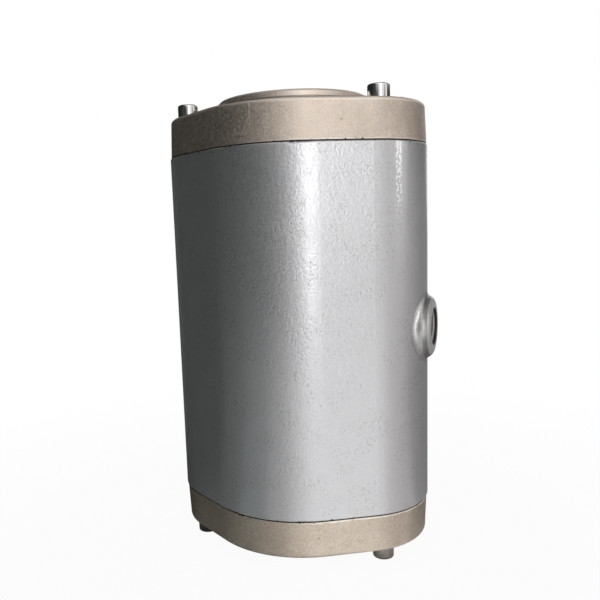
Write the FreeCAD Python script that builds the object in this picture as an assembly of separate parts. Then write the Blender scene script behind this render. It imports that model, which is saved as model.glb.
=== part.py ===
import FreeCAD, Part
import math
import os

# Air-operated pinch valve with a threaded socket at each end of the pipe.
# Compressed air let in at the side port presses the rubber sleeve shut.
# Millimetres. The pipe axis is Z, the origin is the middle of the lower pipe face,
# and +X points at the air port. The sleeve flattens across Y.

# Pipe sockets, G2, bored to the outside of the thread
pipe_thread_radius = 29.807
pipe_thread_depth = 20.0
pipe_mouth_chamfer = 0.8
bore_step = 4.807

# Air port on the +X side, G3/8, bored to the outside of the thread
air_thread_radius = 8.331
air_mouth_chamfer = 0.6
air_boss_wall = 6.669
air_boss_rise = 3.6
air_boss_shoulder = 4.0
air_boss_blend = 2.6
air_inner_boss_wall = 4.2
air_inner_boss_rise = 4.0

# Housing casting. The lands are the metal between the bush's seat and the outside,
# past the screws at each X end and beside the seat at each Y side.
end_land = 21.75
side_land = 8.75
crown_radius = 50.0
flat_angle = 58.0
housing_height = 169.0
housing_wall = 6.5
housing_edge = 0.8
cavity_corner = 5.0
seat_shoulder = 4.0
shoulder_step = 5.0

# End covers
cover_thickness = 18.0
cover_inset = 0.5
cover_draft = 2.5
cover_edge = 2.0
spigot_wall = 6.693
spigot_height = 5.5
spigot_edge = 0.8
spigot_root = 1.0
nose_length = 16.0
nose_root_wall = 6.0
nose_tip_wall = 2.0
nose_tip_edge = 0.8

# Flat gasket in each joint
gasket_thickness = 0.5
gasket_inset = 1.0

# Rubber sleeve
sleeve_wall = 6.0
sleeve_flare = 6.0
pinch_length = 70.0
pinch_half_angle = 60.0

# Clamping bush around each sleeve end, with its O-ring
bush_length = 20.5
bush_cone_length = 16.5
bush_end_wall = 5.1
bush_lip = 1.5
ring_groove_middle = 10.3
ring_groove_width = 3.6
ring_groove_depth = 2.4

# Socket head cap screws, M6 x 30, four in each cover
screw_land = 8.6
screw_angle = 23.0
screw_radius = 3.0
screw_length = 30.0
screw_head_radius = 5.0
screw_head_height = 6.0
screw_head_edge = 1.0
screw_key_flats = 5.0
screw_key_depth = 3.0
screw_end_chamfer = 0.8
tapped_depth = 15.0
drill_tip_angle = 118.0

# Clearances
seat_clearance = 0.1
soft_clearance = 0.3
screw_clearance = 0.3
thread_clearance = 0.05

# Levels along the pipe, worked out from the sizes above
low_joint = spigot_height + cover_thickness
housing_bottom = low_joint + gasket_thickness
housing_top = housing_bottom + housing_height
high_joint = housing_top + gasket_thickness
middle = (low_joint + high_joint) / 2
seat_depth = bush_length - gasket_thickness
cavity_bottom = housing_bottom + seat_depth + seat_shoulder
cavity_top = 2 * middle - cavity_bottom
air_level = middle

# Radii about the pipe, worked out from the bore outwards
bore_radius = pipe_thread_radius - bore_step
sleeve_radius = bore_radius + sleeve_wall
bush_small_radius = sleeve_radius + soft_clearance
bush_large_radius = bush_small_radius + sleeve_flare
bush_radius = bush_large_radius + bush_end_wall
seat_radius = bush_radius + seat_clearance
shoulder_radius = seat_radius - shoulder_step
nose_tip_radius = bore_radius + nose_tip_wall
nose_root_radius = bore_radius + nose_root_wall
spigot_radius = pipe_thread_radius + spigot_wall
body_length = 2 * (seat_radius + end_land)
body_depth = 2 * (seat_radius + side_land)
screw_circle = seat_radius + screw_land
screw_x = screw_circle * math.cos(math.radians(screw_angle))
screw_y = screw_circle * math.sin(math.radians(screw_angle))
air_boss_radius = air_thread_radius + air_boss_wall
over = 1.0

along_pipe = FreeCAD.Vector(0, 0, 1)
along_port = FreeCAD.Vector(1, 0, 0)


def point(x, y, z=0.0):
    return FreeCAD.Vector(x, y, z)


def line(a, b):
    return Part.LineSegment(a, b).toShape()


def arc(a, b, c):
    return Part.Arc(a, b, c).toShape()


def tube_outline(inset, z):
    """Outline of the valve's cross-section: a round end at each X side and a flatter
    crown at each Y side, joined by tangent flats, drawn inset from the outer wall."""
    turn = math.radians(flat_angle)
    half_length = body_length / 2
    half_depth = body_depth / 2
    reach = half_depth * math.sin(turn) + crown_radius * (1 - math.sin(turn))
    end_radius = (reach - half_length * math.cos(turn)) / (1 - math.cos(turn))
    end_middle = half_length - end_radius
    crown_middle = half_depth - crown_radius
    end = end_radius - inset
    crown = crown_radius - inset
    end_x = end_middle + end * math.cos(turn)
    end_y = end * math.sin(turn)
    crown_x = crown * math.cos(turn)
    crown_y = crown_middle + crown * math.sin(turn)
    edges = [
        arc(point(end_x, -end_y, z), point(half_length - inset, 0, z), point(end_x, end_y, z)),
        line(point(end_x, end_y, z), point(crown_x, crown_y, z)),
        arc(point(crown_x, crown_y, z), point(0, half_depth - inset, z), point(-crown_x, crown_y, z)),
        line(point(-crown_x, crown_y, z), point(-end_x, end_y, z)),
        arc(point(-end_x, end_y, z), point(inset - half_length, 0, z), point(-end_x, -end_y, z)),
        line(point(-end_x, -end_y, z), point(-crown_x, -crown_y, z)),
        arc(point(-crown_x, -crown_y, z), point(0, inset - half_depth, z), point(crown_x, -crown_y, z)),
        line(point(crown_x, -crown_y, z), point(end_x, -end_y, z)),
    ]
    return Part.Wire(edges)


def oval_block(inset, bottom, top):
    face = Part.Face(tube_outline(inset, bottom))
    return face.extrude(point(0, 0, top - bottom))


def round_bar(radius, bottom, top, x=0.0, y=0.0):
    return Part.makeCylinder(radius, top - bottom, point(x, y, bottom), along_pipe)


def turned(profile, angle=360.0, start=0.0):
    """Turn a closed list of (radius, height) corners about the pipe axis."""
    corners = [point(radius, 0, height) for radius, height in profile]
    face = Part.Face(Part.makePolygon(corners + corners[:1]))
    solid = face.revolve(point(0, 0), along_pipe, angle)
    solid.rotate(point(0, 0), along_pipe, start)
    return solid


def level_edges(solid, z):
    """Edges that lie flat at one level."""
    near = 1e-4
    return [e for e in solid.Edges if abs(e.BoundBox.ZMin - z) < near and abs(e.BoundBox.ZMax - z) < near]


def round_edges_at(solid, z, radius):
    """Round edges at one level."""
    return [e for e in level_edges(solid, z) if e.Curve.TypeId == "Part::GeomCircle" and is_radius(e, radius)]


def is_radius(edge, radius):
    return abs(edge.Curve.Radius - radius) < 1e-3


def turned_over(solid):
    """The same piece fitted at the other end of the pipe."""
    other = solid.copy()
    other.rotate(point(0, 0, middle), along_port, 180)
    return other


def screw_places():
    """Places of the four screws of one cover, named by the corner seen from above."""
    return {
        "front_right": (screw_x, -screw_y),
        "front_left": (-screw_x, -screw_y),
        "rear_right": (screw_x, screw_y),
        "rear_left": (-screw_x, screw_y),
    }


def make_tapped_hole(x, y, mouth, inward):
    """Blind tapped hole with its drill tip. Inward is +1 or -1 along the pipe."""
    radius = screw_radius + thread_clearance
    tip = radius / math.tan(math.radians(drill_tip_angle / 2))
    direction = point(0, 0, inward)
    start = point(x, y, mouth - inward * over)
    hole = Part.makeCylinder(radius, tapped_depth + over, start, direction)
    bottom = point(x, y, mouth + inward * tapped_depth)
    hole = hole.fuse(Part.makeCone(radius, 0, tip, bottom, direction))
    wide = radius + screw_clearance
    return hole.fuse(Part.makeCone(wide, radius, wide - radius, point(x, y, mouth), direction))


def make_housing():
    """Oval casting with thick ends, a cored air chamber and the air-port boss."""
    shell = oval_block(0, housing_bottom, housing_top)
    rims = level_edges(shell, housing_bottom) + level_edges(shell, housing_top)
    shell = shell.makeFillet(housing_edge, rims)

    half_length = body_length / 2
    boss_face = half_length + air_boss_rise
    boss_start = half_length - housing_wall
    boss_length = boss_face - boss_start
    boss = Part.makeCylinder(air_boss_radius, boss_length, point(boss_start, 0, air_level), along_port)
    boss_rim = [e for e in boss.Edges if e.BoundBox.XMin > boss_face - thread_clearance]
    boss = boss.makeFillet(air_boss_shoulder, boss_rim)
    shell = shell.fuse(boss)
    root_edges = []
    for edge in shell.Edges:
        box = edge.BoundBox
        beside = abs(box.ZMin - air_level) <= air_boss_radius + over
        above = abs(box.ZMax - air_level) <= air_boss_radius + over
        slanting = box.XMax - box.XMin > thread_clearance
        if beside and above and slanting and box.XMin > boss_start:
            root_edges.append(edge)
    shell = shell.makeFillet(air_boss_blend, root_edges)

    chamber = oval_block(housing_wall, cavity_bottom, cavity_top)
    ends = level_edges(chamber, cavity_bottom) + level_edges(chamber, cavity_top)
    chamber = chamber.makeFillet(cavity_corner, ends)
    inner_start = boss_start - air_inner_boss_rise
    inner_boss = Part.makeCylinder(
        air_thread_radius + air_inner_boss_wall, air_boss_radius, point(inner_start, 0, air_level), along_port
    )
    shell = shell.cut(chamber.cut(inner_boss))

    seat_floor = housing_bottom + seat_depth
    seat = round_bar(seat_radius, housing_bottom - over, seat_floor)
    throat = round_bar(shoulder_radius, housing_bottom, cavity_bottom + over)
    for cutter in (seat, throat, turned_over(seat), turned_over(throat)):
        shell = shell.cut(cutter)

    port_length = boss_face - inner_start + 2 * over
    port = Part.makeCylinder(air_thread_radius, port_length, point(inner_start - over, 0, air_level), along_port)
    mouth = Part.makeCone(
        air_thread_radius, air_thread_radius + air_mouth_chamfer, air_mouth_chamfer,
        point(boss_face - air_mouth_chamfer, 0, air_level), along_port,
    )
    shell = shell.cut(port).cut(mouth)

    for x, y in screw_places().values():
        shell = shell.cut(make_tapped_hole(x, y, housing_bottom, 1))
        shell = shell.cut(make_tapped_hole(x, y, housing_top, -1))
    return shell


def make_cover():
    """Lower end cover: oval plate with draft, round spigot with the pipe thread,
    and a cone that reaches into the end of the sleeve."""
    outer_inset = cover_inset + cover_thickness * math.tan(math.radians(cover_draft))
    plate = Part.makeLoft(
        [tube_outline(outer_inset, spigot_height), tube_outline(cover_inset, low_joint)], True, True
    )
    plate = plate.makeFillet(cover_edge, level_edges(plate, spigot_height))

    spigot = round_bar(spigot_radius, 0, low_joint)
    spigot = spigot.makeChamfer(spigot_edge, level_edges(spigot, 0))
    cover = plate.fuse(spigot)
    cover = cover.makeFillet(spigot_root, round_edges_at(cover, spigot_height, spigot_radius))

    nose_top = low_joint + nose_length
    nose = turned([
        (0, spigot_height),
        (nose_root_radius, spigot_height),
        (nose_root_radius, low_joint),
        (nose_tip_radius, nose_top),
        (0, nose_top),
    ])
    nose = nose.makeFillet(nose_tip_edge, level_edges(nose, nose_top))
    cover = cover.fuse(nose)

    mouth_radius = pipe_thread_radius + pipe_mouth_chamfer
    cover = cover.cut(turned([
        (0, -over),
        (mouth_radius, -over),
        (mouth_radius, 0),
        (pipe_thread_radius, pipe_mouth_chamfer),
        (pipe_thread_radius, pipe_thread_depth),
        (bore_radius, pipe_thread_depth + bore_step),
        (bore_radius, nose_top + over),
        (0, nose_top + over),
    ]))
    for x, y in screw_places().values():
        cover = cover.cut(round_bar(screw_radius + screw_clearance, 0, low_joint + over, x, y))
    return cover


def make_gasket():
    """Flat gasket between the housing and the lower cover."""
    gasket = oval_block(gasket_inset, low_joint, housing_bottom)
    gasket = gasket.cut(round_bar(seat_radius + seat_clearance, 0, housing_bottom + over))
    for x, y in screw_places().values():
        gasket = gasket.cut(round_bar(screw_radius + screw_clearance, 0, housing_bottom + over, x, y))
    return gasket


def make_bush():
    """Bush that squeezes the lower sleeve end on to the cover's cone."""
    bottom = low_joint
    top = low_joint + bush_length
    groove_floor = bush_radius - ring_groove_depth
    groove_low = bottom + ring_groove_middle - ring_groove_width / 2
    groove_high = groove_low + ring_groove_width
    bush = turned([
        (bush_large_radius, bottom),
        (bush_radius, bottom),
        (bush_radius, groove_low),
        (groove_floor, groove_low),
        (groove_floor, groove_high),
        (bush_radius, groove_high),
        (bush_radius, top),
        (bush_small_radius, top),
        (bush_small_radius, bottom + bush_cone_length),
    ])
    return bush.makeFillet(bush_lip, round_edges_at(bush, top, bush_small_radius))


def make_seal_ring():
    """O-ring squeezed between the bush's groove and the housing's seat."""
    inner = bush_radius - ring_groove_depth + thread_clearance
    outer = seat_radius - thread_clearance
    half = (outer - inner) / 2
    centre_radius = inner + half
    centre_level = low_joint + ring_groove_middle
    straight = (ring_groove_width - 2 * half) / 4
    low = centre_level - straight
    high = centre_level + straight
    section = Part.Wire([
        arc(point(outer, 0, high), point(centre_radius, 0, high + half), point(inner, 0, high)),
        line(point(inner, 0, high), point(inner, 0, low)),
        arc(point(inner, 0, low), point(centre_radius, 0, low - half), point(outer, 0, low)),
        line(point(outer, 0, low), point(outer, 0, high)),
    ])
    return Part.Face(section).revolve(point(0, 0), along_pipe, 360)


def pinch_wall(extra, facing):
    """One wall of the sleeve's pinch zone, grown by extra on every side.
    Facing is the direction of its middle in degrees from +X."""
    low = middle - pinch_length / 2 - extra
    high = middle + pinch_length / 2 + extra
    grow = math.degrees(extra / bore_radius)
    half_angle = pinch_half_angle + grow
    corners = [
        (bore_radius - extra, low),
        (sleeve_radius + extra, low),
        (sleeve_radius + extra, high),
        (bore_radius - extra, high),
    ]
    return turned(corners, 2 * half_angle, facing - half_angle)


def make_sleeve_half():
    """Lower half of the sleeve, flared over the cover's cone."""
    end = low_joint + soft_clearance
    nose_top = low_joint + nose_length
    inner_root = nose_root_radius + soft_clearance
    inner_tip = nose_tip_radius + soft_clearance
    outer_end = bush_large_radius - soft_clearance
    inner_slope = (inner_root - inner_tip) / nose_length
    outer_slope = sleeve_flare / bush_cone_length
    bore_start = nose_top + inner_tip - bore_radius + soft_clearance
    return turned([
        (inner_root - inner_slope * soft_clearance, end),
        (outer_end - outer_slope * soft_clearance, end),
        (sleeve_radius, low_joint + bush_cone_length),
        (sleeve_radius, middle),
        (bore_radius, middle),
        (bore_radius, bore_start),
        (inner_tip, nose_top + soft_clearance),
        (inner_tip, nose_top),
    ])


def make_sleeve():
    """Sleeve with an opening in front and behind for the two walls that move."""
    half = make_sleeve_half()
    sleeve = half.fuse(turned_over(half)).removeSplitter()
    for facing in (-90, 90):
        sleeve = sleeve.cut(pinch_wall(soft_clearance, facing))
    return sleeve


def make_screw():
    """Cap screw standing on its head's face at the origin, shank upwards."""
    head = round_bar(screw_head_radius, -screw_head_height, 0)
    head = head.makeFillet(screw_head_edge, level_edges(head, -screw_head_height))
    shank = round_bar(screw_radius, 0, screw_length)
    shank = shank.makeChamfer(screw_end_chamfer, level_edges(shank, screw_length))
    corner_radius = screw_key_flats / 2 / math.cos(math.pi / 6)
    corners = []
    for step in range(7):
        turn = step * math.pi / 3
        corners.append(point(
            corner_radius * math.cos(turn), corner_radius * math.sin(turn), -screw_head_height - over
        ))
    key = Part.Face(Part.makePolygon(corners)).extrude(point(0, 0, screw_key_depth + over))
    tip = Part.makeCone(
        screw_key_flats / 2, 0, screw_key_flats / 4,
        point(0, 0, screw_key_depth - screw_head_height), along_pipe,
    )
    return head.fuse(shank).cut(key).cut(tip)


def save(shape, node):
    solid = shape.removeSplitter()
    solid.exportStep("parts/" + node + ".step")
    box = solid.BoundBox
    print(node, "solids", len(solid.Solids), "valid", solid.isValid(),
          "volume", round(solid.Volume), "size", round(box.XLength, 1), round(box.YLength, 1), round(box.ZLength, 1))


def main():
    os.makedirs("parts", exist_ok=True)
    save(make_housing(), "housing")
    for name, make in (("cover", make_cover), ("gasket", make_gasket), ("clamp_bush", make_bush),
                       ("seal_ring", make_seal_ring)):
        piece = make()
        save(piece, "bottom_" + name)
        save(turned_over(piece), "top_" + name)
    save(make_sleeve(), "sleeve")
    save(pinch_wall(0, -90), "sleeve_front_wall")
    save(pinch_wall(0, 90), "sleeve_rear_wall")
    screw = make_screw()
    for corner, (x, y) in screw_places().items():
        low = screw.copy()
        low.translate(point(x, y, spigot_height))
        high = screw.copy()
        high.rotate(point(0, 0), along_port, 180)
        high.translate(point(x, y, 2 * middle - spigot_height))
        save(low, "bottom_screw_" + corner)
        save(high, "top_screw_" + corner)


main()
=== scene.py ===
# %% [markdown]
# # A pinch valve in the studio
# A pinch valve is a pipe whose middle is a rubber sleeve. Air pressed in round the sleeve
# squeezes it shut. From outside it is one painted casting, two bare cast end covers and
# eight bright cap screws. The imported frame already holds every hard piece at its real
# place and size, so this lesson adds what makes them look real: paint, cast skin, turned
# rings, threads and a rubber sleeve cut into hoops, with a closing pad on each wall.

import math

import bmesh
import bpy
from mathutils import Matrix, Vector


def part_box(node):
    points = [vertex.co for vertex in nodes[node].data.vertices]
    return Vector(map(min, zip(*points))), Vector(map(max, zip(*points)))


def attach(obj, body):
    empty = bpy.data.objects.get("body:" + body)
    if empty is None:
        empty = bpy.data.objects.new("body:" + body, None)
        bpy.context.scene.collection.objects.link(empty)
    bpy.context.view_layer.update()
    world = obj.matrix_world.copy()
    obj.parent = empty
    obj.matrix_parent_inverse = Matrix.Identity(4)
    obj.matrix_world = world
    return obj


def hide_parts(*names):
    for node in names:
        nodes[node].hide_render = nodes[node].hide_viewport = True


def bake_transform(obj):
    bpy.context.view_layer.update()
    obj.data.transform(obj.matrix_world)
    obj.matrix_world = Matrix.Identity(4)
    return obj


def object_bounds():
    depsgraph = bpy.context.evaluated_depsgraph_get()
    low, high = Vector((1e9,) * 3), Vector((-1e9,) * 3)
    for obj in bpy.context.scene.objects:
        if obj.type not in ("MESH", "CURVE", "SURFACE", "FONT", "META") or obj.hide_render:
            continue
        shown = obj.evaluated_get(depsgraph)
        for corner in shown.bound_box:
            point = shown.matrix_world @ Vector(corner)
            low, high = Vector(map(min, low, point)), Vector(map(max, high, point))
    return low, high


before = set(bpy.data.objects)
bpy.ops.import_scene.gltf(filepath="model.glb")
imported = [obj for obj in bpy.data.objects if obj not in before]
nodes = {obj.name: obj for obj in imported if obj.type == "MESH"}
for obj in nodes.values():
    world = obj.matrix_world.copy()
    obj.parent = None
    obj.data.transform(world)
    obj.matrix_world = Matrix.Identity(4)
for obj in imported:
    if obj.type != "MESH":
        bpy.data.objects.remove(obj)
cad_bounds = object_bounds()
scene = bpy.context.scene
print("nodes in the frame:", len(nodes))

# %% [markdown]
# ## Where things are
# The new pieces sit on the ones that are there, so their levels and radii are read from
# the boxes of the nodes and not typed again. Only sizes that no box can tell, such as the
# pitch of a thread, are written down.

# %% Read levels and radii from the frame
housing_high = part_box("housing")[1]
cover_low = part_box("bottom_cover")[0]
top_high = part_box("top_cover")[1]
sleeve_low, sleeve_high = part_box("sleeve")
middle = (sleeve_low.z + sleeve_high.z) / 2
low_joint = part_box("bottom_gasket")[0].z
high_joint = 2 * middle - low_joint
boss_face = housing_high.x
floor_level = cad_bounds[0].z
print("joint levels", round(low_joint, 4), round(high_joint, 4), "middle", round(middle, 4))

# %% [markdown]
# ## Small helpers for materials
# A material is a small network of nodes whose sockets are joined by links. These helpers
# add nodes, and set each input by its name: a plain value is typed in, a socket is linked.
# Patterns read Object coordinates, which are metres on this part, so a scale of 1000 gives
# a pattern of one millimetre.

# %% Helpers for node networks
def fill(node, slots=(), **inputs):
    """Set inputs by number or by name. A socket is linked, anything else is a value."""
    named = {name.replace("_", " "): value for name, value in inputs.items()}
    for key, value in {**dict(slots), **named}.items():
        if isinstance(value, bpy.types.NodeSocket):
            node.id_data.links.new(value, node.inputs[key])
        else:
            node.inputs[key].default_value = value
    return node


def add_node(tree, kind, **inputs):
    return fill(tree.nodes.new(kind), **inputs)


def new_material(name):
    material = bpy.data.materials.new(name)
    material.use_nodes = True
    tree = material.node_tree
    place = tree.nodes.new("ShaderNodeTexCoord").outputs["Object"]
    return material, tree.nodes["Principled BSDF"], place


def new_group(name, inputs, outputs):
    """A node group that takes a place and named numbers and gives named numbers."""
    tree = bpy.data.node_groups.new(name, "ShaderNodeTree")
    sockets = tree.interface
    sockets.new_socket(name="Place", in_out="INPUT", socket_type="NodeSocketVector")
    for label, value in inputs.items():
        socket = sockets.new_socket(name=label, in_out="INPUT", socket_type="NodeSocketFloat")
        socket.default_value = value
    for label in outputs:
        sockets.new_socket(name=label, in_out="OUTPUT", socket_type="NodeSocketFloat")
    given = tree.nodes.new("NodeGroupInput").outputs
    return tree, given, tree.nodes.new("NodeGroupOutput")


def use_group(group, place, **inputs):
    node = place.id_data.nodes.new("ShaderNodeGroup")
    node.node_tree = group
    return fill(node, Place=place, **inputs).outputs


print("node helpers ready")

# %% [markdown]
# ## Helpers that calculate
# Each of these adds nodes to the network of the sockets that it is given, and returns the
# socket with the result, so that a recipe reads like a sum. The most useful one is the
# smooth step. It goes from 0 at the first number of a band to 1 at the second, and the
# first may be the larger one. A band of four numbers also says which values it goes
# between.

# %% Helpers for numbers, places and colours
def tree_of(*values):
    return next(value.id_data for value in values if isinstance(value, bpy.types.NodeSocket))


def math_node(operation, *values, clamp=False):
    """A Math node on sockets or plain numbers."""
    node = tree_of(*values).nodes.new("ShaderNodeMath")
    node.operation = operation
    node.use_clamp = clamp
    return fill(node, enumerate(values)).outputs[0]


def plus(first, second):
    return math_node("ADD", first, second)


def minus(first, second):
    return math_node("SUBTRACT", first, second)


def times(first, *others):
    for other in others:
        first = math_node("MULTIPLY", first, other)
    return first


def axes_of(place):
    """The sockets X, Y and Z of a place."""
    return add_node(place.id_data, "ShaderNodeSeparateXYZ", Vector=place).outputs


def vector_node(operation, *values):
    node = tree_of(*values).nodes.new("ShaderNodeVectorMath")
    node.operation = operation
    return fill(node, enumerate(values)).outputs["Value"]


def spread(value, low, high, to_low=0.0, to_high=1.0):
    """A smooth step of value from low to high."""
    node = add_node(
        value.id_data, "ShaderNodeMapRange", Value=value,
        From_Min=low, From_Max=high, To_Min=to_low, To_Max=to_high,
    )
    node.interpolation_type = "SMOOTHSTEP"
    return node.outputs["Result"]


def noise(place, scale, detail=2.0):
    node = add_node(
        place.id_data, "ShaderNodeTexNoise", Vector=place, Scale=scale, Detail=detail
    )
    return node.outputs["Fac"]


def mapped(place, **inputs):
    """The same coordinates, moved or stretched."""
    return add_node(place.id_data, "ShaderNodeMapping", Vector=place, **inputs).outputs[0]


def mix_colour(share, first, second, blend="MIX"):
    """Mix two colours, each a socket or (red, green, blue)."""
    node = tree_of(share, first, second).nodes.new("ShaderNodeMix")
    node.data_type = "RGBA"
    node.blend_type = blend
    first, second = ((*c, 1.0) if isinstance(c, tuple) else c for c in (first, second))
    return fill(node, {0: share, 6: first, 7: second}).outputs[2]


def layered(base, *coats):
    """A colour with coats of (share, colour) laid over it, one after the other."""
    for share, colour in coats:
        base = mix_colour(share, base, colour)
    return base


def bump(height, distance, strength=0.8):
    node = add_node(
        height.id_data, "ShaderNodeBump", Height=height, Distance=distance, Strength=strength
    )
    return node.outputs["Normal"]


print("calculating helpers ready")

# %% [markdown]
# ## Cast skin, shared by the paint and the bare metal
# Sand leaves a grainy skin on a casting. Paint fills it, so the painted housing shows a
# soft orange peel while the bare covers show sharp grains and small open pits. Both come
# from one group with its own sizes in each material: a fine grain, a slow swell, and pits
# where a cell pattern comes near its centres. Only some cells, picked by their colour,
# have a pit.

# %% Build the cast skin group
pit_chance_band = (0.62, 0.72)
swell_share, pit_depth = 1.4, 1.6


def build_cast_skin():
    sizes = {"Grain Scale": 900.0, "Swell Scale": 120.0, "Pit Scale": 110.0, "Pit Size": 0.12}
    tree, given, result = new_group("cast_skin", sizes, ["Height", "Grain", "Pits"])
    grain = add_node(tree, "ShaderNodeTexNoise", Detail=3.0, Roughness=0.62)
    swell = add_node(tree, "ShaderNodeTexNoise", Detail=2.0, Roughness=0.5)
    cells = tree.nodes.new("ShaderNodeTexVoronoi")
    for node, size in ((grain, "Grain Scale"), (swell, "Swell Scale"), (cells, "Pit Scale")):
        fill(node, Vector=given["Place"], Scale=given[size])
    shade = add_node(tree, "ShaderNodeSeparateColor", Color=cells.outputs["Color"])
    chosen = spread(shade.outputs["Red"], *pit_chance_band)
    inside = minus(given["Pit Size"], cells.outputs["Distance"])
    pits = times(math_node("DIVIDE", inside, given["Pit Size"], clamp=True), chosen)
    skin = plus(grain.outputs["Fac"], times(swell.outputs["Fac"], swell_share))
    height = minus(skin, times(pits, pit_depth))
    fill(result, Height=height, Grain=grain.outputs["Fac"], Pits=pits)
    return tree


cast_skin = build_cast_skin()
print("group", cast_skin.name)

# %% [markdown]
# ## Turned rings, shared by everything that saw a lathe
# A cutting tool leaves fine rings about the axis it turned round. The distance from the
# pipe's axis gives them, broken a little by noise so that they never look printed.

# %% Build the turned rings group
wobble_share = 0.6
streak_scale = 2600.0


def build_turned_rings():
    numbers = {"Feed": 9000.0, "Along": 0.35}
    tree, given, result = new_group("turned_rings", numbers, ["Height", "Streaks"])
    x, y, z = axes_of(given["Place"])
    radius = math_node("SQRT", plus(times(x, x), times(y, y)))
    travel = plus(radius, times(z, given["Along"]))
    wobble = noise(given["Place"], scale=60.0, detail=1.0)
    turns = plus(times(travel, given["Feed"]), times(wobble, wobble_share))
    lines = tree.nodes.new("ShaderNodeTexNoise")
    lines.noise_dimensions = "1D"
    fill(lines, Detail=4.0, W=times(travel, streak_scale))
    fill(result, Height=math_node("SINE", turns), Streaks=lines.outputs["Fac"])
    return tree


turned_rings = build_turned_rings()
print("group", turned_rings.name)

# %% [markdown]
# ## Grime, shared by all finishes
# Nothing stays clean in a store room. A slow cloudy noise, sharpened by a finer one, says
# where fingers and dust dulled the surface. It mostly changes the gloss, and barely the
# colour.

# %% Build the grime group
def build_grime():
    numbers = {"Scale": 28.0, "Least": 0.45, "Most": 0.75}
    tree, given, result = new_group("grime", numbers, ["Mask"])
    cloud = add_node(
        tree, "ShaderNodeTexNoise", Vector=given["Place"], Scale=given["Scale"],
        Detail=6.0, Roughness=0.65, Distortion=0.4,
    )
    fill(result, Mask=spread(cloud.outputs["Fac"], given["Least"], given["Most"]))
    return tree


grime = build_grime()
print("group", grime.name)

# %% [markdown]
# ## Silver paint on the housing
# The housing is sprayed with silver paint: metal flakes in a clear binder. It shines like
# dull metal, brightens in one broad band down the front, and shows orange peel in that
# band. A mostly metallic shader with a thin clear coat gives the shine, and the peel is
# bump. Sand under the paint leaves fine dents, which come in patches.

# %% Mix the plain paint
paint_dark, paint_light = (0.53, 0.53, 0.54), (0.70, 0.70, 0.715)
flake_white, flake_band = (0.9, 0.9, 0.92), (0.62, 0.78, 0.0, 0.35)
patch_band, dent_band = (0.42, 0.60), (0.54, 0.66)
dent_grey, dent_share = (0.36, 0.36, 0.365), 0.4
pit_grey = (0.22, 0.215, 0.21)
dust_grey, dust_share = (0.5, 0.5, 0.49), 0.18


def mix_plain_paint(place):
    """The skin, the dirt, the dents and the tone of paint that nothing has marked."""
    skin = use_group(
        cast_skin, mapped(place, Scale=(1.0, 1.0, 0.8)),
        Grain_Scale=1300.0, Swell_Scale=640.0, Pit_Scale=75.0, Pit_Size=0.035,
    )
    dirt = use_group(grime, place, Scale=22.0, Least=0.5, Most=0.8)["Mask"]
    patches = spread(noise(place, scale=85.0, detail=1.0), *patch_band)
    dents = times(spread(noise(place, scale=1050.0, detail=1.5), *dent_band), patches)
    tone = layered(
        mix_colour(skin["Grain"], paint_dark, paint_light),
        (times(dents, dent_share), dent_grey),
        (spread(noise(place, scale=2600.0, detail=1.0), *flake_band), flake_white),
        (skin["Pits"], pit_grey),
        (times(dirt, dust_share), dust_grey),
    )
    return skin, dirt, dents, tone


print("plain paint from", paint_dark, "to", paint_light)

# %% [markdown]
# ## Painted light and shade round the air port
# The boss round the air port carries painted light and shade. Painted shade lies in the
# corner at its root, more of it low down. Its side is painted lighter above and darker
# below, a grey ring of painted shade lies on its shoulder, stronger away from the middle,
# its rim carries a painted highlight, and the mouth of the tapped hole is painted nearly
# black as shade, with bare, oily metal deeper in. A painted picture could carry these
# tones. Masks made from the distance to the port's axis and the depth below its face
# need no picture and stay sharp close up. The grain of the skin shifts the distance a
# little, so that no mark looks drawn with compasses.

# %% Paint light and shade on the boss
boss_band = (boss_face - 0.025, boss_face - 0.020)
# Greys and whites of painted shade and painted highlights on the boss.
corner_band, corner_shade_grey = (0.0180, 0.0164), (0.3, 0.3, 0.295)
corner_height_band = (0.001, -0.008, 0.35, 0.5)
side_band, side_height_band = (0.0159, 0.0153), (0.0, -0.007)
side_painted_light, side_painted_shade = (0.64, 0.64, 0.635), (0.36, 0.36, 0.355)
ring_band, ring_shade_grey = (0.0038, 0.0029), (0.22, 0.217, 0.214)
ring_height_band = (0.0015, 0.0060, 0.5, 1.0)
rim_band, rim_highlight = (0.0016, 0.0005), (0.84, 0.835, 0.83)
hole_band, mouth_band = (0.0093, 0.0089), (0.0009, 0.0014)
mouth_shade_black, hole_oil = (0.03, 0.028, 0.025), (0.32, 0.31, 0.30)


def paint_boss_light_and_shade(place, uneven, tone):
    """The tone with the painted light and shade of the boss laid over it."""
    from_port = mapped(place, Location=(0, 0, -middle))
    height = axes_of(from_port)["Z"]
    radius = vector_node("LENGTH", mapped(from_port, Scale=(0.0, 1.0, 1.0)))
    reach = plus(radius, uneven)
    along = axes_of(place)["X"]
    depth = minus(boss_face, along)
    near_boss = spread(along, *boss_band)
    in_corner = times(spread(reach, *corner_band), near_boss)
    on_boss = times(spread(reach, *side_band), near_boss)
    off_middle = spread(math_node("ABSOLUTE", height), *ring_height_band)
    # Painted shade in the corner, on the lower side and on the ring; painted light on the
    # upper side and the rim.
    return layered(
        tone,
        (times(in_corner, spread(height, *corner_height_band)), corner_shade_grey),
        (on_boss, mix_colour(spread(height, *side_height_band), side_painted_light, side_painted_shade)),
        (times(spread(depth, *ring_band), on_boss, off_middle), ring_shade_grey),
        (times(spread(depth, *rim_band), on_boss), rim_highlight),
        # The mouth of the hole is painted nearly black as shade; deeper in it is bare, oily
        # metal.
        (
            times(spread(radius, *hole_band), near_boss),
            mix_colour(spread(depth, *mouth_band), mouth_shade_black, hole_oil),
        ),
    )


print("boss marked from", round(boss_band[0], 4), "to", round(boss_face, 4))
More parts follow.
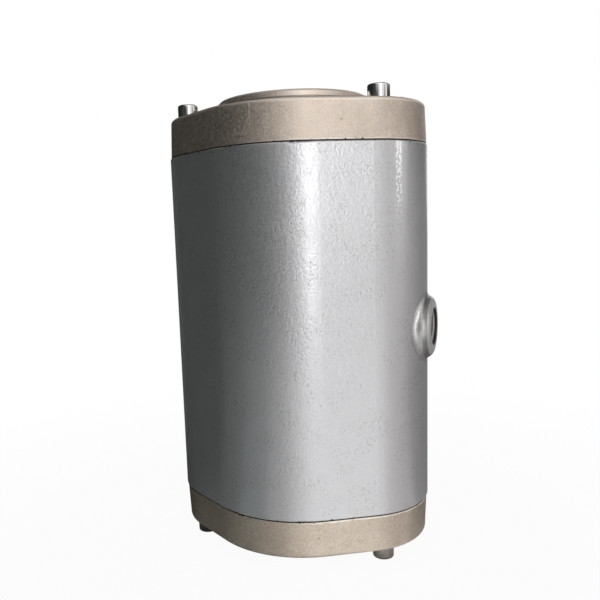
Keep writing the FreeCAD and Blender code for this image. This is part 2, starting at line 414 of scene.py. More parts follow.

# %% [markdown]
# ## A chip, a run of drops and crumbs at the joints
# One small chip shows beside the bright band. Crumbs of sealant stick to the paint at
# both ends of the housing. A short run of drops stands near the top of the lobe on the
# port side: clumps of noise on one upright line, more of them higher up. The drops are
# raised in the bump, and their near-white colour is a painted highlight.

# %% Chip the paint and let it run
chip_place, chip_dark = (0.0226, -0.0459, 0.1420), (0.10, 0.10, 0.10)
chip_band, chip_ragged = (0.00055, 0.00030), 0.3
half_height = housing_high.z - middle
crumb_band, crumb_dark = (half_height - 0.0010, half_height - 0.0004), (0.05, 0.045, 0.04)
crumb_noise_band = (0.62, 0.68)
drops_x, drops_highlight_white = 0.0562, (0.98, 0.98, 0.98)
drops_width_band, drops_noise_band = (0.0015, 0.0005), (0.50, 0.62)
drops_y_band, drops_z_band = (-0.010, -0.015), (0.156, 0.170)
more_above_band = (0.165, 0.190, 0.0, 0.12)


def chip_paint(place, uneven):
    """Mask of the chip."""
    away = vector_node("DISTANCE", place, chip_place)
    return spread(plus(away, times(uneven, chip_ragged)), *chip_band)


def stick_crumbs(place):
    """Mask of the crumbs at both ends of the housing."""
    from_middle = math_node("ABSOLUTE", minus(axes_of(place)["Z"], middle))
    crumbs = spread(noise(place, scale=560.0), *crumb_noise_band)
    return times(crumbs, spread(from_middle, *crumb_band))


def run_drops(place):
    """Mask of the drops."""
    x, y, z = axes_of(place)
    off_line = math_node("ABSOLUTE", minus(x, drops_x))
    on_line = times(
        spread(off_line, *drops_width_band), spread(y, *drops_y_band), spread(z, *drops_z_band)
    )
    clumps = plus(noise(place, scale=900.0, detail=1.0), spread(z, *more_above_band))
    return times(spread(clumps, *drops_noise_band), on_line)


print("chip at", chip_place, "drops at x", drops_x)

# %% [markdown]
# ## Put the paint together
# The marks go over the plain paint one after the other. The grain varies the gloss a
# little, dirt dulls it, and the drops and dents also go into the bump.

# %% Paint the housing
mark_unevenness = 0.004
gloss_band, dust_dulls = (0.3, 0.7, 0.28, 0.38), 0.08
dent_depth, peel_height = 0.5, 0.00007


def make_housing_paint():
    material, shader, place = new_material("housing_silver_paint")
    skin, dirt, dents, tone = mix_plain_paint(place)
    uneven = times(minus(skin["Grain"], 0.5), mark_unevenness)
    drops = run_drops(place)
    tone = paint_boss_light_and_shade(place, uneven, mix_colour(stick_crumbs(place), tone, crumb_dark))
    # The drops' white is a painted highlight.
    tone = layered(tone, (chip_paint(place, uneven), chip_dark), (drops, drops_highlight_white))
    height = plus(minus(skin["Height"], times(dents, dent_depth)), drops)
    fill(
        shader, Base_Color=tone, Metallic=0.86, Coat_Weight=0.3, Coat_Roughness=0.1,
        Roughness=plus(spread(skin["Grain"], *gloss_band), times(dirt, dust_dulls)),
        Normal=bump(height, peel_height),
    )
    return material


housing_paint = make_housing_paint()
print("material", housing_paint.name)

# %% [markdown]
# ## Bare sand-cast aluminium on the end covers
# The covers were never painted. Their sides keep the warm, slightly brown skin of a sand
# casting with sparkling grains. Their faces, the pipe sockets and the cones were turned
# on a lathe, so they are brighter and show rings. One material holds both. Masks made
# from the height over the plate and the distance to the axis say where the tool went, and
# where the colour changes: a brighter spigot with a line of painted shade at its foot, and
# the plate's rim with a line of painted shade and a painted highlight on its edge.

# %% Find the places on a cover
plate_level = cover_low.z + 0.0055
bore_band = (0.0322, 0.0318)
face_rise, face_band = (0.0009, 0.0006), (0.0358, 0.0354)
spigot_rise, spigot_band = (0.0002, 0.0006), (0.0380, 0.0374)
foot_rise = (0.0029, 0.0025)
rim_bands = (-0.0004, -0.0002), (-0.00003, -0.00010)
edge_bands = (-0.0022, -0.0012), (-0.0003, -0.0006)


def find_cover_places(place, face, plate, inward):
    """Masks of what was cut, the spigot, its foot, the plate's rim and the plate's edge."""
    level = axes_of(place)["Z"]
    radius = vector_node("LENGTH", mapped(place, Scale=(1.0, 1.0, 0.0)))
    face_levels = [(face + inward * rise) * inward for rise in face_rise]
    near_face = times(spread(times(level, inward), *face_levels), spread(radius, *face_band))
    cut = math_node("MAXIMUM", spread(radius, *bore_band), near_face)
    over_plate = times(minus(plate, level), inward)
    spigot = times(spread(over_plate, *spigot_rise), spread(radius, *spigot_band))
    foot = times(spread(over_plate, *foot_rise), spigot)
    rim, edge = (
        times(*(spread(over_plate, *band) for band in bands))
        for bands in (rim_bands, edge_bands)
    )
    return cut, spigot, foot, rim, edge


print("plate level", round(plate_level, 4))

# %% [markdown]
# ## The colour of the casting
# Grains, sparkling flecks, pits, dirt and a slow change of tone lie over one another. The
# two covers aren't the same: the upper one has a painted highlight on its edge and a line
# of painted shade on its rim, and the lower one has painted shade at its port end. So the
# shares of both are given for each cover.

# %% Mix the cast colour
cast_band = (0.3, 0.75)
cast_dark, cast_light = (0.595, 0.535, 0.488), (0.835, 0.753, 0.694)
glint_band, glint_tone = (0.68, 0.78, 0.0, 0.5), (0.96, 0.90, 0.84)
open_pit, cloud_tone = (0.16, 0.13, 0.10), (0.86, 0.84, 0.78)
dirt_share, dirt_tone = 0.35, (0.40, 0.37, 0.32)
spigot_share, spigot_tone = 0.5, (0.93, 0.87, 0.80)
# A painted highlight for the plate's edge, and painted shade for the spigot's foot and the
# rim.
edge_highlight_tone, foot_shade_share, shade_line_tone = (0.98, 0.92, 0.85), 0.75, (0.20, 0.18, 0.15)
# Painted shade towards the port end of a cover.
end_shade_band, end_shade_tone = (0.0570, 0.0625), (0.27, 0.25, 0.19)


def mix_cast_colour(place, skin, places, edge_light_and_shade_share, end_shade_share):
    spigot, foot, rim, edge = places
    dirt = use_group(grime, place, Scale=30.0, Least=0.42, Most=0.75)["Mask"]
    cast = layered(
        mix_colour(spread(skin["Grain"], *cast_band), cast_dark, cast_light),
        (spread(noise(place, scale=1900.0, detail=1.0), *glint_band), glint_tone),
        (skin["Pits"], open_pit),
        (times(dirt, dirt_share), dirt_tone),
    )
    cast = mix_colour(noise(place, scale=150.0), cast, cloud_tone, "MULTIPLY")
    # Painted shade lines at the spigot's foot and the plate's rim, and a painted highlight on
    # the plate's edge.
    shade_lines = math_node("MAXIMUM", times(foot, foot_shade_share), times(rim, edge_light_and_shade_share))
    return layered(
        cast,
        (times(spigot, spigot_share), spigot_tone),
        (times(edge, edge_light_and_shade_share), edge_highlight_tone),
        (shade_lines, shade_line_tone),
        # Painted shade towards the port end.
        (spread(axes_of(place)["X"], *end_shade_band, 0.0, end_shade_share), end_shade_tone),
    )


print("cast colour from", cast_dark, "to", cast_light)

# %% [markdown]
# ## Lip, crumbs and parting seam
# Where a cover meets the joint a ragged lip stands, mostly towards the port, with black
# crumbs of sealant under it. The lip's pale colour is a painted highlight along it. The
# mould left a thin raised seam down the front, which wanders and breaks off. Both are a
# tenth of a millimetre high, so they aren't modelled: the masks that colour them also
# raise them in the bump.

# %% Add what the joint and the mould left
lip_ragged, lip_band, lip_x_band = 0.0016, (0.0001, -0.0001), (0.0, 0.035)
# The lip's pale tone is a painted highlight; its height goes into the bump.
lip_highlight_tone, lip_height = (0.95, 0.90, 0.82), 1.2
sealant_noise_band, sealant_band = (0.62, 0.68), (0.0007, 0.0003)
sealant_dark = (0.05, 0.04, 0.03)
seam_offset, seam_wander, seam_band = 0.0031, 0.0022, (0.00036, 0.00010)
front_band, broken_band = (-0.036, -0.038), (0.42, 0.62)
seam_share, seam_tone = 0.10, (0.80, 0.80, 0.72)


def add_lip_and_seam(place, joint, inward, lip_highlight_share, cast):
    """The colour with both on it, and the height that they add."""
    x, y, z = axes_of(place)
    from_joint = times(minus(joint, z), inward)
    ragged = times(noise(place, scale=260.0, detail=3.0), lip_ragged)
    lip = times(spread(minus(from_joint, ragged), *lip_band), spread(x, *lip_x_band))
    crumbs = spread(noise(place, scale=620.0), *sealant_noise_band)
    crumbs = times(crumbs, spread(from_joint, *sealant_band))
    upright = mapped(place, Scale=(0.0, 0.0, 1.0))
    wander = times(noise(upright, scale=210.0), seam_wander)
    beside = math_node("ABSOLUTE", plus(x, minus(seam_offset, wander)))
    broken = spread(noise(place, scale=330.0), *broken_band)
    seam = times(spread(beside, *seam_band), spread(y, *front_band), broken)
    cast = layered(
        cast,
        (times(lip, lip_highlight_share), lip_highlight_tone),
        (crumbs, sealant_dark),
        (times(seam, seam_share), seam_tone),
    )
    return cast, plus(times(lip, lip_height), seam)


print("seam at x", -seam_offset, "lip up to", lip_ragged)

# %% [markdown]
# ## Put the covers' metal together
# The cast and the turned surface are mixed by the same mask three times: in the colour,
# in the roughness and in the relief.

# %% Cast and turn the end covers
turned_dark, turned_light = (0.72, 0.68, 0.62), (0.86, 0.82, 0.76)
rough_band, smooth_band = (0.3, 0.7, 0.46, 0.60), (0.3, 0.7, 0.22, 0.34)
skin_height, ring_height, cover_relief = 0.8, 0.06, 0.00009


def make_cover_metal(
    name, face, plate, joint, inward, tint, lip_highlight_share, edge_light_and_shade_share, end_shade_share
):
    """Levels of the pipe face, the plate and the joint. Inward is +1 or -1."""
    material, shader, place = new_material(name)
    skin = use_group(
        cast_skin, place,
        Grain_Scale=1050.0, Swell_Scale=240.0, Pit_Scale=250.0, Pit_Size=0.135,
    )
    rings = use_group(turned_rings, place, Feed=16000.0, Along=1.0)
    cut, *places = find_cover_places(place, face, plate, inward)
    cast = mix_cast_colour(place, skin, places, edge_light_and_shade_share, end_shade_share)
    cast = mix_colour(1.0, cast, tint, "MULTIPLY")
    cast, raised = add_lip_and_seam(place, joint, inward, lip_highlight_share, cast)
    bright = mix_colour(rings["Streaks"], turned_dark, turned_light)
    rough = spread(skin["Grain"], *rough_band)
    smooth = spread(rings["Streaks"], *smooth_band)
    gloss = fill(place.id_data.nodes.new("ShaderNodeMix"), {0: cut, 2: rough, 3: smooth})
    relief = times(plus(times(skin["Height"], skin_height), raised), minus(1.0, cut))
    relief = plus(relief, times(rings["Height"], ring_height, cut))
    fill(
        shader, Base_Color=mix_colour(cut, cast, bright), Metallic=1.0,
        Roughness=gloss.outputs[0], Normal=bump(relief, cover_relief),
    )
    return material


bottom_casting = make_cover_metal(
    "bottom_cover_casting", cover_low.z, plate_level, low_joint, inward=1,
    tint=(1.0, 0.965, 0.92), lip_highlight_share=0.75, edge_light_and_shade_share=0.1, end_shade_share=0.5,
)
top_casting = make_cover_metal(
    "top_cover_casting", top_high.z, 2 * middle - plate_level, high_joint, inward=-1,
    tint=(1.0, 0.975, 0.95), lip_highlight_share=0.3, edge_light_and_shade_share=0.7, end_shade_share=0.0,
)
print("materials", bottom_casting.name, top_casting.name)

# %% [markdown]
# ## Turned bushes, rubber and bright screws
# The bushes inside are plain turned aluminium. The sleeve, the gaskets and the O-rings are
# black rubber: it is dark and soft in its gloss, with a grey bloom where sulphur and talc
# come out. The screws are nickel-plated steel, almost a mirror, with a hint of the turned
# surface under the plating. The lower four stand near the table, under the lower cover,
# and take a darker, browner copy of the plating as painted shade. The tapped air port is
# bare, oily metal, and the mouth of its hole is painted nearly black as shade.

# %% Finish the small parts
bush_dark, bush_light = (0.72, 0.72, 0.715), (0.9, 0.9, 0.895)
bush_dirt, bush_dirt_share = (0.5, 0.49, 0.47), 0.2
bush_gloss_band, plating_gloss_band = (0.3, 0.7, 0.2, 0.36), (0.0, 1.0, 0.07, 0.22)
oil_gloss_band, bloom_dulls = (0.0, 1.0, 0.3, 0.45), 0.2
bloom_share, smear_share = 0.7, 0.4
port_clean, port_oiled = (0.62, 0.61, 0.60), (0.30, 0.295, 0.28)


def make_turned_aluminium():
    material, shader, place = new_material("bush_turned_aluminium")
    rings = use_group(turned_rings, place, Feed=15000.0, Along=1.0)
    dirt = use_group(grime, place, Scale=60.0, Least=0.45, Most=0.8)["Mask"]
    tone = mix_colour(rings["Streaks"], bush_dark, bush_light)
    tone = mix_colour(times(dirt, bush_dirt_share), tone, bush_dirt)
    gloss = spread(rings["Streaks"], *bush_gloss_band)
    relief = bump(rings["Height"], distance=0.00001)
    fill(shader, Base_Color=tone, Metallic=1.0, Roughness=gloss, Normal=relief)
    return material


def make_rubber(name, dark, bloom, cloud_scale, roughness):
    material, shader, place = new_material(name)
    dust = use_group(grime, place, Scale=cloud_scale, Least=0.42, Most=0.78)["Mask"]
    tone = mix_colour(times(dust, bloom_share), dark, bloom)
    gloss = spread(dust, 0.0, 1.0, roughness, roughness + bloom_dulls)
    pores = bump(noise(place, scale=1800.0), distance=0.00005, strength=0.6)
    fill(shader, Base_Color=tone, Specular_IOR_Level=0.45, Roughness=gloss, Normal=pores)
    return material


def make_screw_plating(name, clean, stained):
    material, shader, place = new_material(name)
    smears = use_group(grime, place, Scale=160.0, Least=0.5, Most=0.85)["Mask"]
    ripple = noise(mapped(place, Scale=(1.0, 1.0, 0.25)), scale=500.0)
    tone = mix_colour(times(smears, smear_share), clean, stained)
    gloss = spread(smears, *plating_gloss_band)
    relief = bump(ripple, distance=0.00002, strength=0.5)
    fill(shader, Base_Color=tone, Metallic=1.0, Roughness=gloss, Normal=relief)
    return material


def make_port_metal():
    material, shader, place = new_material("air_port_oiled_metal")
    oil = use_group(grime, place, Scale=180.0, Least=0.4, Most=0.7)["Mask"]
    # Near the face the thread is painted nearly black: painted shade in the mouth of the hole.
    inside = spread(axes_of(place)["X"], *(boss_face - depth for depth in mouth_band))
    tone = mix_colour(inside, mouth_shade_black, mix_colour(oil, port_clean, port_oiled))
    gloss = spread(oil, *oil_gloss_band)
    relief = bump(noise(place, scale=1500.0), distance=0.00003, strength=0.6)
    fill(shader, Base_Color=tone, Metallic=0.4, Roughness=gloss, Normal=relief)
    return material


turned_aluminium = make_turned_aluminium()
port_metal = make_port_metal()
sleeve_rubber = make_rubber(
    "sleeve_black_rubber", (0.018, 0.018, 0.019), (0.06, 0.06, 0.058), 45.0, 0.5
)
seal_rubber = make_rubber(
    "seal_ring_rubber", (0.012, 0.012, 0.013), (0.03, 0.03, 0.03), 90.0, 0.35
)
gasket_sheet = make_rubber(
    "gasket_sheet_rubber", (0.02, 0.019, 0.018), (0.05, 0.045, 0.04), 120.0, 0.7
)
screw_plating = make_screw_plating(
    "screw_bright_nickel", clean=(0.80, 0.79, 0.77), stained=(0.5, 0.47, 0.43)
)
# The lower screws' copy is darker all over: painted shade.
shaded_plating = make_screw_plating(
    "screw_shaded_nickel", clean=(0.27, 0.245, 0.215), stained=(0.09, 0.075, 0.06)
)
print("materials", len(bpy.data.materials))

# %% [markdown]
# ## Dress the nodes of the frame
# Each node from the frame keeps its shape. Only the material in its slots changes, chosen
# by its name, so that all eight screws are done by one rule.

# %% Put the finishes on the nodes
finish_of = {
    "housing": housing_paint,
    "bottom_cover": bottom_casting,
    "top_cover": top_casting,
    "bottom_gasket": gasket_sheet,
    "top_gasket": gasket_sheet,
    "bottom_clamp_bush": turned_aluminium,
    "top_clamp_bush": turned_aluminium,
    "bottom_seal_ring": seal_rubber,
    "top_seal_ring": seal_rubber,
}
for name, node in nodes.items():
    other = sleeve_rubber
    if "screw" in name:
        # The lower screws take the darker copy as painted shade.
        other = shaded_plating if name.startswith("bottom") else screw_plating
    finish = finish_of.get(name, other)
    if not node.material_slots:
        node.data.materials.append(finish)
    for slot in node.material_slots:
        slot.material = finish
print("dressed", len(nodes), "nodes")

# %% [markdown]
# ## Finishing a new piece
# Every new piece ends the same way: double points are merged, the faces are turned
# outwards, the mesh takes its material and becomes an object at the origin, and the object
# rides on a body.

# %% Helper for new pieces
merge_distance = 0.000002
crease_angle = math.radians(35)


def add_piece(name, mesh_in_work, material):
    bmesh.ops.remove_doubles(mesh_in_work, verts=mesh_in_work.verts, dist=merge_distance)
    bmesh.ops.recalc_face_normals(mesh_in_work, faces=mesh_in_work.faces)
    mesh = bpy.data.meshes.new(name)
    mesh_in_work.to_mesh(mesh)
    mesh_in_work.free()
    mesh.materials.append(material)
    mesh.shade_smooth()
    mesh.set_sharp_from_angle(angle=crease_angle)
    piece = bpy.data.objects.new(name, mesh)
    scene.collection.objects.link(piece)
    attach(piece, "valve_body")
    return piece


print("piece helper ready")

# %% [markdown]
# ## Pipe threads
# A thread is one ridge wound up the wall of a bore. It could be cut by a screw modifier,
# but a closed section spun about the axis with a small rise at every step gives the same
# helix and stays one clean solid. The first and last turn fade into the wall, as the
# tap's lead does. The lower socket's thread is turned over for the upper one, which keeps
# it right-handed.

# %% Wind the threads
steps_per_turn = 60
root_cover = 0.00002
foot_shares, crest_shares = (0.04, 0.96), (0.42, 0.58)
least_height = 0.02


def wind_thread(major, minor, pitch, length):
    """A right-handed ridge up the Z axis from level 0."""
    work = bmesh.new()
    root = major + root_cover
    first, last = foot_shares
    section = ((root, first), *((minor, share) for share in crest_shares), (root, last))
    corners = [work.verts.new((radius, 0.0, share * pitch)) for radius, share in section]
    face = work.faces.new(corners)
    turns = length / pitch - 1
    bmesh.ops.spin(
        work,
        geom=[face, *face.edges, *face.verts],
        cent=(0, 0, 0),
        axis=(0, 0, 1),
        dvec=(0, 0, pitch / steps_per_turn),
        angle=2 * math.pi * turns,
        steps=round(turns * steps_per_turn),
        use_merge=False,
        use_duplicate=False,
    )
    for corner in work.verts:
        lead_in = corner.co.z / pitch
        lead_out = (length - corner.co.z) / pitch
        height = max(least_height, min(1.0, lead_in, lead_out))
        reach = corner.co.xy.length
        wanted = root - (root - reach) * height
        corner.co.xy *= wanted / reach
    return work


def move_to(work, turn, offset):
    bmesh.ops.transform(work, matrix=Matrix.Translation(offset) @ turn, verts=work.verts)


pipe_major = 0.029807
pipe_minor = 0.028328
pipe_pitch = 0.002309
pipe_lead = 0.0008
pipe_length = 0.0185
upright = Matrix.Identity(4)
upside_down = Matrix.Rotation(math.pi, 4, "X")

lower_thread = wind_thread(pipe_major, pipe_minor, pipe_pitch, pipe_length)
move_to(lower_thread, upright, (0, 0, pipe_lead))
add_piece("bottom_socket_thread", lower_thread, turned_aluminium)

upper_thread = wind_thread(pipe_major, pipe_minor, pipe_pitch, pipe_length)
move_to(upper_thread, upside_down, (0, 0, top_high.z - pipe_lead))
add_piece("top_socket_thread", upper_thread, turned_aluminium)

air_major = 0.008331
air_minor = 0.007476
air_pitch = 0.001337
air_lead = 0.0006
air_length = 0.0130
towards_port = Matrix.Rotation(-math.pi / 2, 4, "Y")
air_thread = wind_thread(air_major, air_minor, air_pitch, air_length)
move_to(air_thread, towards_port, (boss_face - air_lead, 0, middle))
add_piece("air_port_thread", air_thread, port_metal)
print("threads wound")

# %% [markdown]
# ## The rubber sleeve
# The sleeve is a thick rubber tube whose ends flare over the cones of the covers. Air
# flattens its middle until the walls meet. One mesh can't follow that, so the free length
# is cut into short hoops, each in a front and a rear half. At rest the hoops lie flush and
# read as one tube.

# %% Shape the sleeve's ends
sleeve_bore = 0.025
sleeve_outer = 0.031
sleeve_flare_outer = sleeve_high.x
sleeve_flare_inner = 0.0313
free_low = 0.048
cone_top = low_joint + 0.0165
bend_radius, bend_level = 0.0273, low_joint + 0.0162
bore_start = low_joint + 0.0185
around = 96
nothing = 1e-6


def spin_ring(profile, arc=2 * math.pi, start=0.0, steps=around):
    """A closed outline of (radius, height) turned about the pipe axis."""
    work = bmesh.new()
    corners = [work.verts.new((radius, 0.0, height)) for radius, height in profile]
    face = work.faces.new(corners)
    full = abs(arc - 2 * math.pi) < nothing
    if full:
        edges = list(face.edges)
        work.faces.remove(face)
        geometry = corners + edges
    else:
        geometry = [face, *face.edges, *face.verts]
    turn = Matrix.Rotation(start, 3, "Z")
    bmesh.ops.rotate(work, cent=(0, 0, 0), matrix=turn, verts=work.verts)
    bmesh.ops.spin(
        work, geom=geometry, cent=(0, 0, 0), axis=(0, 0, 1), dvec=(0, 0, 0),
        angle=arc, steps=steps, use_merge=full, use_duplicate=False,
    )
    return work


end_profile = (
    (sleeve_flare_inner, sleeve_low.z),
    (sleeve_flare_outer, sleeve_low.z),
    (sleeve_outer, cone_top),
    (sleeve_outer, free_low),
    (sleeve_bore, free_low),
    (sleeve_bore, bore_start),
    (bend_radius, bend_level),
)
straight_end = spin_ring(end_profile)
lower_end = add_piece("sleeve_bottom_end", straight_end, sleeve_rubber)
turned_end = spin_ring(end_profile)
move_to(turned_end, upside_down, (0, 0, 2 * middle))
add_piece("sleeve_top_end", turned_end, sleeve_rubber)
print("sleeve ends shaped")

# %% [markdown]
# ## Hoops
# Each hoop is three rows high between its low and high level, and is spun in a front and a
# rear half. Its closing strength is how far its middle level closes, over the closing
# reach. Halves whose strength is more than a little are taken off the still body again
# and keep their place.

# %% Cut the free length into hoops
hoop_count = 20
free_high = 2 * middle - free_low
hoop_height = (free_high - free_low) / hoop_count
closing_reach = 0.028
closing_steepness = 1.15
least_strength = 0.05
rows = 3


def closing_share(level):
    """How far a level closes: 0 where the sleeve is clamped, 1 in its middle."""
    near = 1 - abs(level - middle) / (middle - free_low)
    near = max(0.0, min(1.0, near * closing_steepness))
    return near * near * (3 - 2 * near)


def make_hoop(number):
    low = free_low + number * hoop_height
    high = low + hoop_height
    level = (low + high) / 2
    strength = closing_share(level) / closing_reach
    heights = [low + (high - low) * row / rows for row in range(rows + 1)]
    inner_side = [(sleeve_bore, height) for height in heights]
    outer_side = [(sleeve_outer, height) for height in reversed(heights)]
    halves = []
    for side, facing, body in (("front", -1, "front_wall"), ("rear", 1, "rear_wall")):
        start_angle = math.pi if facing < 0 else 0.0
        work = spin_ring(inner_side + outer_side, math.pi, start_angle, around // 2)
        name = f"sleeve_{side}_hoop_{number + 1:02d}"
        half = add_piece(name, work, sleeve_rubber)
        if strength > least_strength:
            half.parent = None
            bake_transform(half)
        halves.append(half)
    return halves


hoops = [half for number in range(hoop_count) for half in make_hoop(number)]
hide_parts("sleeve")
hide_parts("sleeve_front_wall")
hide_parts("sleeve_rear_wall")
print("hoops", len(hoops))

# %% [markdown]
# ## Closing pads
# Where the sleeve closes, real rubber is pressed flat between the walls. One flat pad on
# each wall stands for that, and rides on that wall's body. At rest it lies in the thickness
# of the rubber and stands out of it by less than a tenth of a millimetre. When the valve is
# closed, the two pads meet face to face.

# %% Fit the closing pads
pad_half_width = 0.0095
pad_half_height = 0.0075
pad_face = 0.02491
pad_back = 0.028
pad_rounding = 0.0003


def make_closing_pad(side, facing, body):
    """A flat pad in the rubber. Facing is -1 for the front wall and +1 for the rear."""
    work = bmesh.new()
    bmesh.ops.create_cube(work, size=1.0)
    size = (2 * pad_half_width, pad_back - pad_face, 2 * pad_half_height)
    centre = (0, facing * (pad_face + pad_back) / 2, middle)
    bmesh.ops.scale(work, vec=size, verts=work.verts)
    bmesh.ops.translate(work, vec=centre, verts=work.verts)
    bmesh.ops.bevel(
        work, geom=work.edges[:], offset=pad_rounding, segments=2, profile=0.5, affect="EDGES"
    )
    pad = add_piece(f"sleeve_{side}_closing_pad", work, sleeve_rubber)
    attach(pad, body)
    return pad


pads = [make_closing_pad("front", -1, "front_wall"), make_closing_pad("rear", 1, "rear_wall")]
print("closing pads", [pad.name for pad in pads])

# %% [markdown]
# ## Floor
# The valve stands on a pale floor that fades into a white background, so the eye stays on
# the valve. Most of what the camera sees of the floor is plain white, and the rest is lit
# like any matt surface, which keeps a soft shadow under the valve.

# %% Lay the floor
floor_radius = 3.0
floor_white = (0.88, 0.88, 0.88, 1)
plain_share = 0.95
fade_band = (0.08, 0.4)


def add_stage(name, work, material):
    mesh = bpy.data.meshes.new(name)
    work.to_mesh(mesh)
    work.free()
    mesh.materials.append(material)
    backdrop = bpy.data.objects.new(name, mesh)
    scene.collection.objects.link(backdrop)
    return backdrop


def mix_shaders(share, first, second):
    node = share.id_data.nodes.new("ShaderNodeMixShader")
    return fill(node, enumerate((share, first.outputs[0], second.outputs[0])))


def make_floor():
    material, shader, place = new_material("studio_floor")
    tree = material.node_tree
    fill(shader, Base_Color=floor_white, Roughness=0.9, Specular_IOR_Level=0.05)
    plain = add_node(tree, "ShaderNodeEmission", Color=(1, 1, 1, 1), Strength=1.0)
    camera_ray = tree.nodes.new("ShaderNodeLightPath").outputs["Is Camera Ray"]
    paled = mix_shaders(times(camera_ray, plain_share), shader, plain)
    far_off = spread(vector_node("LENGTH", place), *fade_band)
    clear = tree.nodes.new("ShaderNodeBsdfTransparent")
    faded = mix_shaders(times(far_off, camera_ray), paled, clear)
    fill(tree.nodes["Material Output"], Surface=faded.outputs[0])
    work = bmesh.new()
    bmesh.ops.create_circle(
        work, cap_ends=True, cap_tris=True, segments=64, radius=floor_radius
    )
    bmesh.ops.translate(work, verts=work.verts, vec=(0, 0, floor_level))
    add_stage("floor", work, material)


make_floor()
print("floor at", round(floor_level, 4))

# %% [markdown]
# ## A white world
# The world is white where the camera or a reflection meets it, so metal shows the same
# background as the picture, and a plain grey for the light that falls on the object.

# %% Make the world
daylight = 0.3


def make_world():
    world = bpy.data.worlds.new("studio_world")
    world.use_nodes = True
    tree = world.node_tree
    path = tree.nodes.new("ShaderNodeLightPath").outputs
    seen = math_node("MAXIMUM", path["Is Camera Ray"], path["Is Glossy Ray"])
    seen = math_node("MAXIMUM", seen, path["Is Transmission Ray"])
    strength = plus(times(seen, 1 - daylight), daylight)
    fill(tree.nodes["Background"], Color=(1, 1, 1, 1), Strength=strength)
    scene.world = world


make_world()
print("world", scene.world.name)

# %% [markdown]
# ## Cards round the table
# Silver paint is a soft mirror, so what it shows is the studio. The photograph's left side
# is dark and its right side is bright and falls off softly. So cards stand round the
# table: nearly black ones on the left, pale ones on the right that darken again towards
# the back, and a gap in front where the white world shows. Each card lies on the table
# from the valve outwards and then stands up. It has one tone on the table, one where it
# stands, one high up that the screw heads see, and one higher still that the sides and
# edges of the upper cover see. It darkens under the valve. A flat card covers the table
# in the gap, and a grey ceiling closes the room. Only reflections see the cards, so the
# floor stays white and keeps its shadow.

# %% Stand the cards
card_foot = 0.02
card_distance = 1.0
card_height = 1.5
card_gap = 0.001
card_steps = 12
shade_band = (0.045, 0.064, 0.3, 1.0)
stand_band = (0.45, 0.95)
high_band = (0.24, 0.34)
crown_band = (0.385, 0.405)
ceiling_tone = 0.16
neutral = (1.0, 1.0, 1.0)
cool = (0.93, 1.01, 0.985)
warm = (1.01, 0.975, 0.97)
table_tones = (1.12, 1.0, 1.0, 1.0)
# Each row: first and last azimuth, the tones near, far, high and at the crown, the tint.
card_tones = (
    (-165, -110, 0.07, 0.07, 0.04, 0.03, cool),
    (-110, -70, 0.03, 0.03, 0.02, 0.02, cool),
    (-70, -40, 0.11, 0.055, 0.03, 0.02, cool),
    (-40, -12, 0.24, 0.09, 0.06, 0.05, cool),
    (-12, 8, 0.46, 0.15, 0.04, 0.53, neutral),
    (8, 21, 0.80, 0.40, 0.5, 1.0, neutral),
    (58, 66, 0.86, 0.90, 0.8, 1.0, neutral),
    (66, 80, 0.66, 0.71, 0.3, 1.0, warm),
    (80, 100, 0.56, 0.61, 0.9, 0.85, warm),
    (100, 125, 0.27, 0.44, 0.03, 0.48, warm),
    (125, 165, 0.21, 0.25, 0.03, 0.28, neutral),
    (165, 195, 0.26, 0.36, 0.1, 0.1, neutral),
)


def make_glow(material, tint, strength):
    """Let a material glow and do nothing else."""
    tree = material.node_tree
    glow = add_node(tree, "ShaderNodeEmission", Color=(*tint, 1), Strength=strength)
    fill(tree.nodes["Material Output"], Surface=glow.outputs[0])


def add_card(name, first, last, near, far, high, crown, tint, standing):
    """A curved card from azimuth first to azimuth last, 0 in front and 90 on the right."""
    material, _, place = new_material(name)
    away, height = vector_node("LENGTH", place), axes_of(place)["Z"]
    tone = spread(away, *stand_band, near, far)
    for band, step in ((high_band, high - far), (crown_band, crown - high)):
        tone = plus(tone, spread(height, *band, 0.0, step))
    # The glow is turned down under the valve: a painted shadow of the valve on the card.
    make_glow(material, tint, times(tone, spread(away, *shade_band)))
    turn = math.radians(first)
    outward = Vector((math.sin(turn), -math.cos(turn), 0))
    level = Vector((0, 0, floor_level + card_gap))
    spots = [outward * card_foot + level, outward * card_distance + level]
    if standing:
        spots.append(spots[-1] + Vector((0, 0, card_height)))
    work = bmesh.new()
    line = [work.verts.new(spot) for spot in spots]
    edges = [work.edges.new(pair) for pair in zip(line, line[1:])]
    bmesh.ops.spin(
        work, geom=line + edges, cent=(0, 0, 0), axis=(0, 0, 1), dvec=(0, 0, 0),
        angle=math.radians(last - first), steps=card_steps,
        use_merge=False, use_duplicate=False,
    )
    return hide_card(add_stage(name, work, material))


def hide_card(card):
    card.visible_camera = False
    card.visible_diffuse = False
    card.visible_shadow = False
    card.visible_transmission = False
    return card


def add_ceiling():
    material = new_material("card_ceiling")[0]
    make_glow(material, neutral, ceiling_tone)
    work = bmesh.new()
    bmesh.ops.create_circle(work, cap_ends=True, segments=48, radius=card_distance)
    bmesh.ops.translate(work, verts=work.verts, vec=(0, 0, floor_level + card_height))
    return hide_card(add_stage("card_ceiling", work, material))


for number, tones in enumerate(card_tones):
    add_card(f"card_{number + 1}", *tones, standing=True)
gap_first, gap_last = card_tones[5][1], card_tones[6][0]
add_card("card_table", gap_first, gap_last, *table_tones, neutral, standing=False)
add_ceiling()
print("cards stand:", len(card_tones))

# %% [markdown]
# ## Lamps
# A tall soft lamp just right of the camera draws the bright line down the front, and a
# small one at the right makes the second, broken line near the edge. A soft lamp behind
# keeps the back from going dark when the valve is looked at from there, and a soft one
# overhead lights the faces that look up.

# %% Set up the lamps
target = Vector((0, 0, middle))


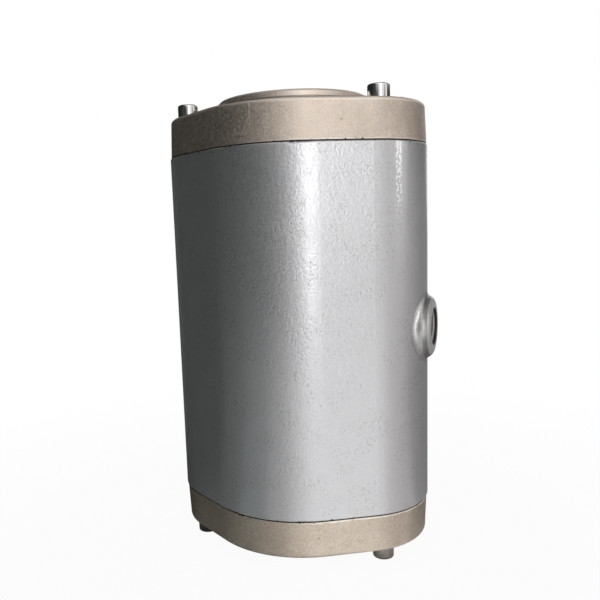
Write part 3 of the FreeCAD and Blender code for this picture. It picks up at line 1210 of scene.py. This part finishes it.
def add_lamp(name, azimuth, elevation, distance, width, height, power):
    """An area lamp that looks at the middle of the valve. Azimuth 0 is in front."""
    turn, lift = math.radians(azimuth), math.radians(elevation)
    level = Vector((math.sin(turn), -math.cos(turn), 0))
    away = level * math.cos(lift) + Vector((0, 0, math.sin(lift)))
    lamp = bpy.data.lights.new(name, "AREA")
    lamp.shape = "RECTANGLE"
    lamp.size = width
    lamp.size_y = height
    lamp.energy = power
    holder = bpy.data.objects.new(name, lamp)
    holder.location = target + away * distance
    holder.rotation_mode = "QUATERNION"
    holder.rotation_quaternion = (-away).to_track_quat("-Z", "Y")
    scene.collection.objects.link(holder)
    return holder


# Each row: name, azimuth, elevation, distance, width, height, power.
lamp_rows = (
    ("front_strip", 35, 18, 0.9, 0.12, 0.8, 1.15),
    ("high_spot", 92, 9, 0.93, 0.012, 0.12, 0.11),
    ("back_soft", 182, 20, 0.95, 0.6, 0.9, 2),
    ("top_soft", 20, 80, 0.9, 0.7, 0.7, 0.8),
)
lamps = [add_lamp(*row) for row in lamp_rows]
print("lamps", [lamp.name for lamp in lamps])

# %% [markdown]
# ## Camera
# The camera stands close to the valve, a little above its middle and turned to the air
# port's side, with a small tilt. The lens is shifted because the picture is cut off its
# optical centre. The numbers are angles and distances of the view, in degrees and metres.

# %% Place the camera
camera_distance = 0.34775
camera_level = 0.158
camera_side = 19.77
camera_yaw = -3.149
camera_pitch = 8.408
camera_roll = -2.053
lens_length = 41.18
sensor_size = 36.0
lens_shift = (0.0639, 0.0467)


def place_camera():
    yaw, pitch, roll = (math.radians(a) for a in (camera_yaw, camera_pitch, camera_roll))
    ahead = Vector((math.sin(yaw), math.cos(yaw), 0))
    forward = ahead * math.cos(pitch) - Vector((0, 0, math.sin(pitch)))
    right = Vector((math.cos(yaw), -math.sin(yaw), 0))
    up = right.cross(forward)
    level_right = math.cos(roll) * right + math.sin(roll) * up
    level_up = -math.sin(roll) * right + math.cos(roll) * up
    axes = Matrix((level_right, level_up, -forward)).transposed()
    swing = Matrix.Rotation(math.radians(camera_side), 3, "Z")
    camera = bpy.data.cameras.new("camera")
    camera.lens = lens_length
    camera.sensor_width = sensor_size
    camera.shift_x, camera.shift_y = lens_shift
    holder = bpy.data.objects.new("camera", camera)
    spot = swing @ Vector((0, -camera_distance, camera_level))
    holder.matrix_world = Matrix.Translation(spot) @ (swing @ axes).to_4x4()
    scene.collection.objects.link(holder)
    scene.camera = holder
    return holder


camera = place_camera()
scene.view_settings.view_transform = "Standard"
print("camera at", tuple(round(v, 4) for v in camera.matrix_world.translation))

# %% Finish
print("finished")
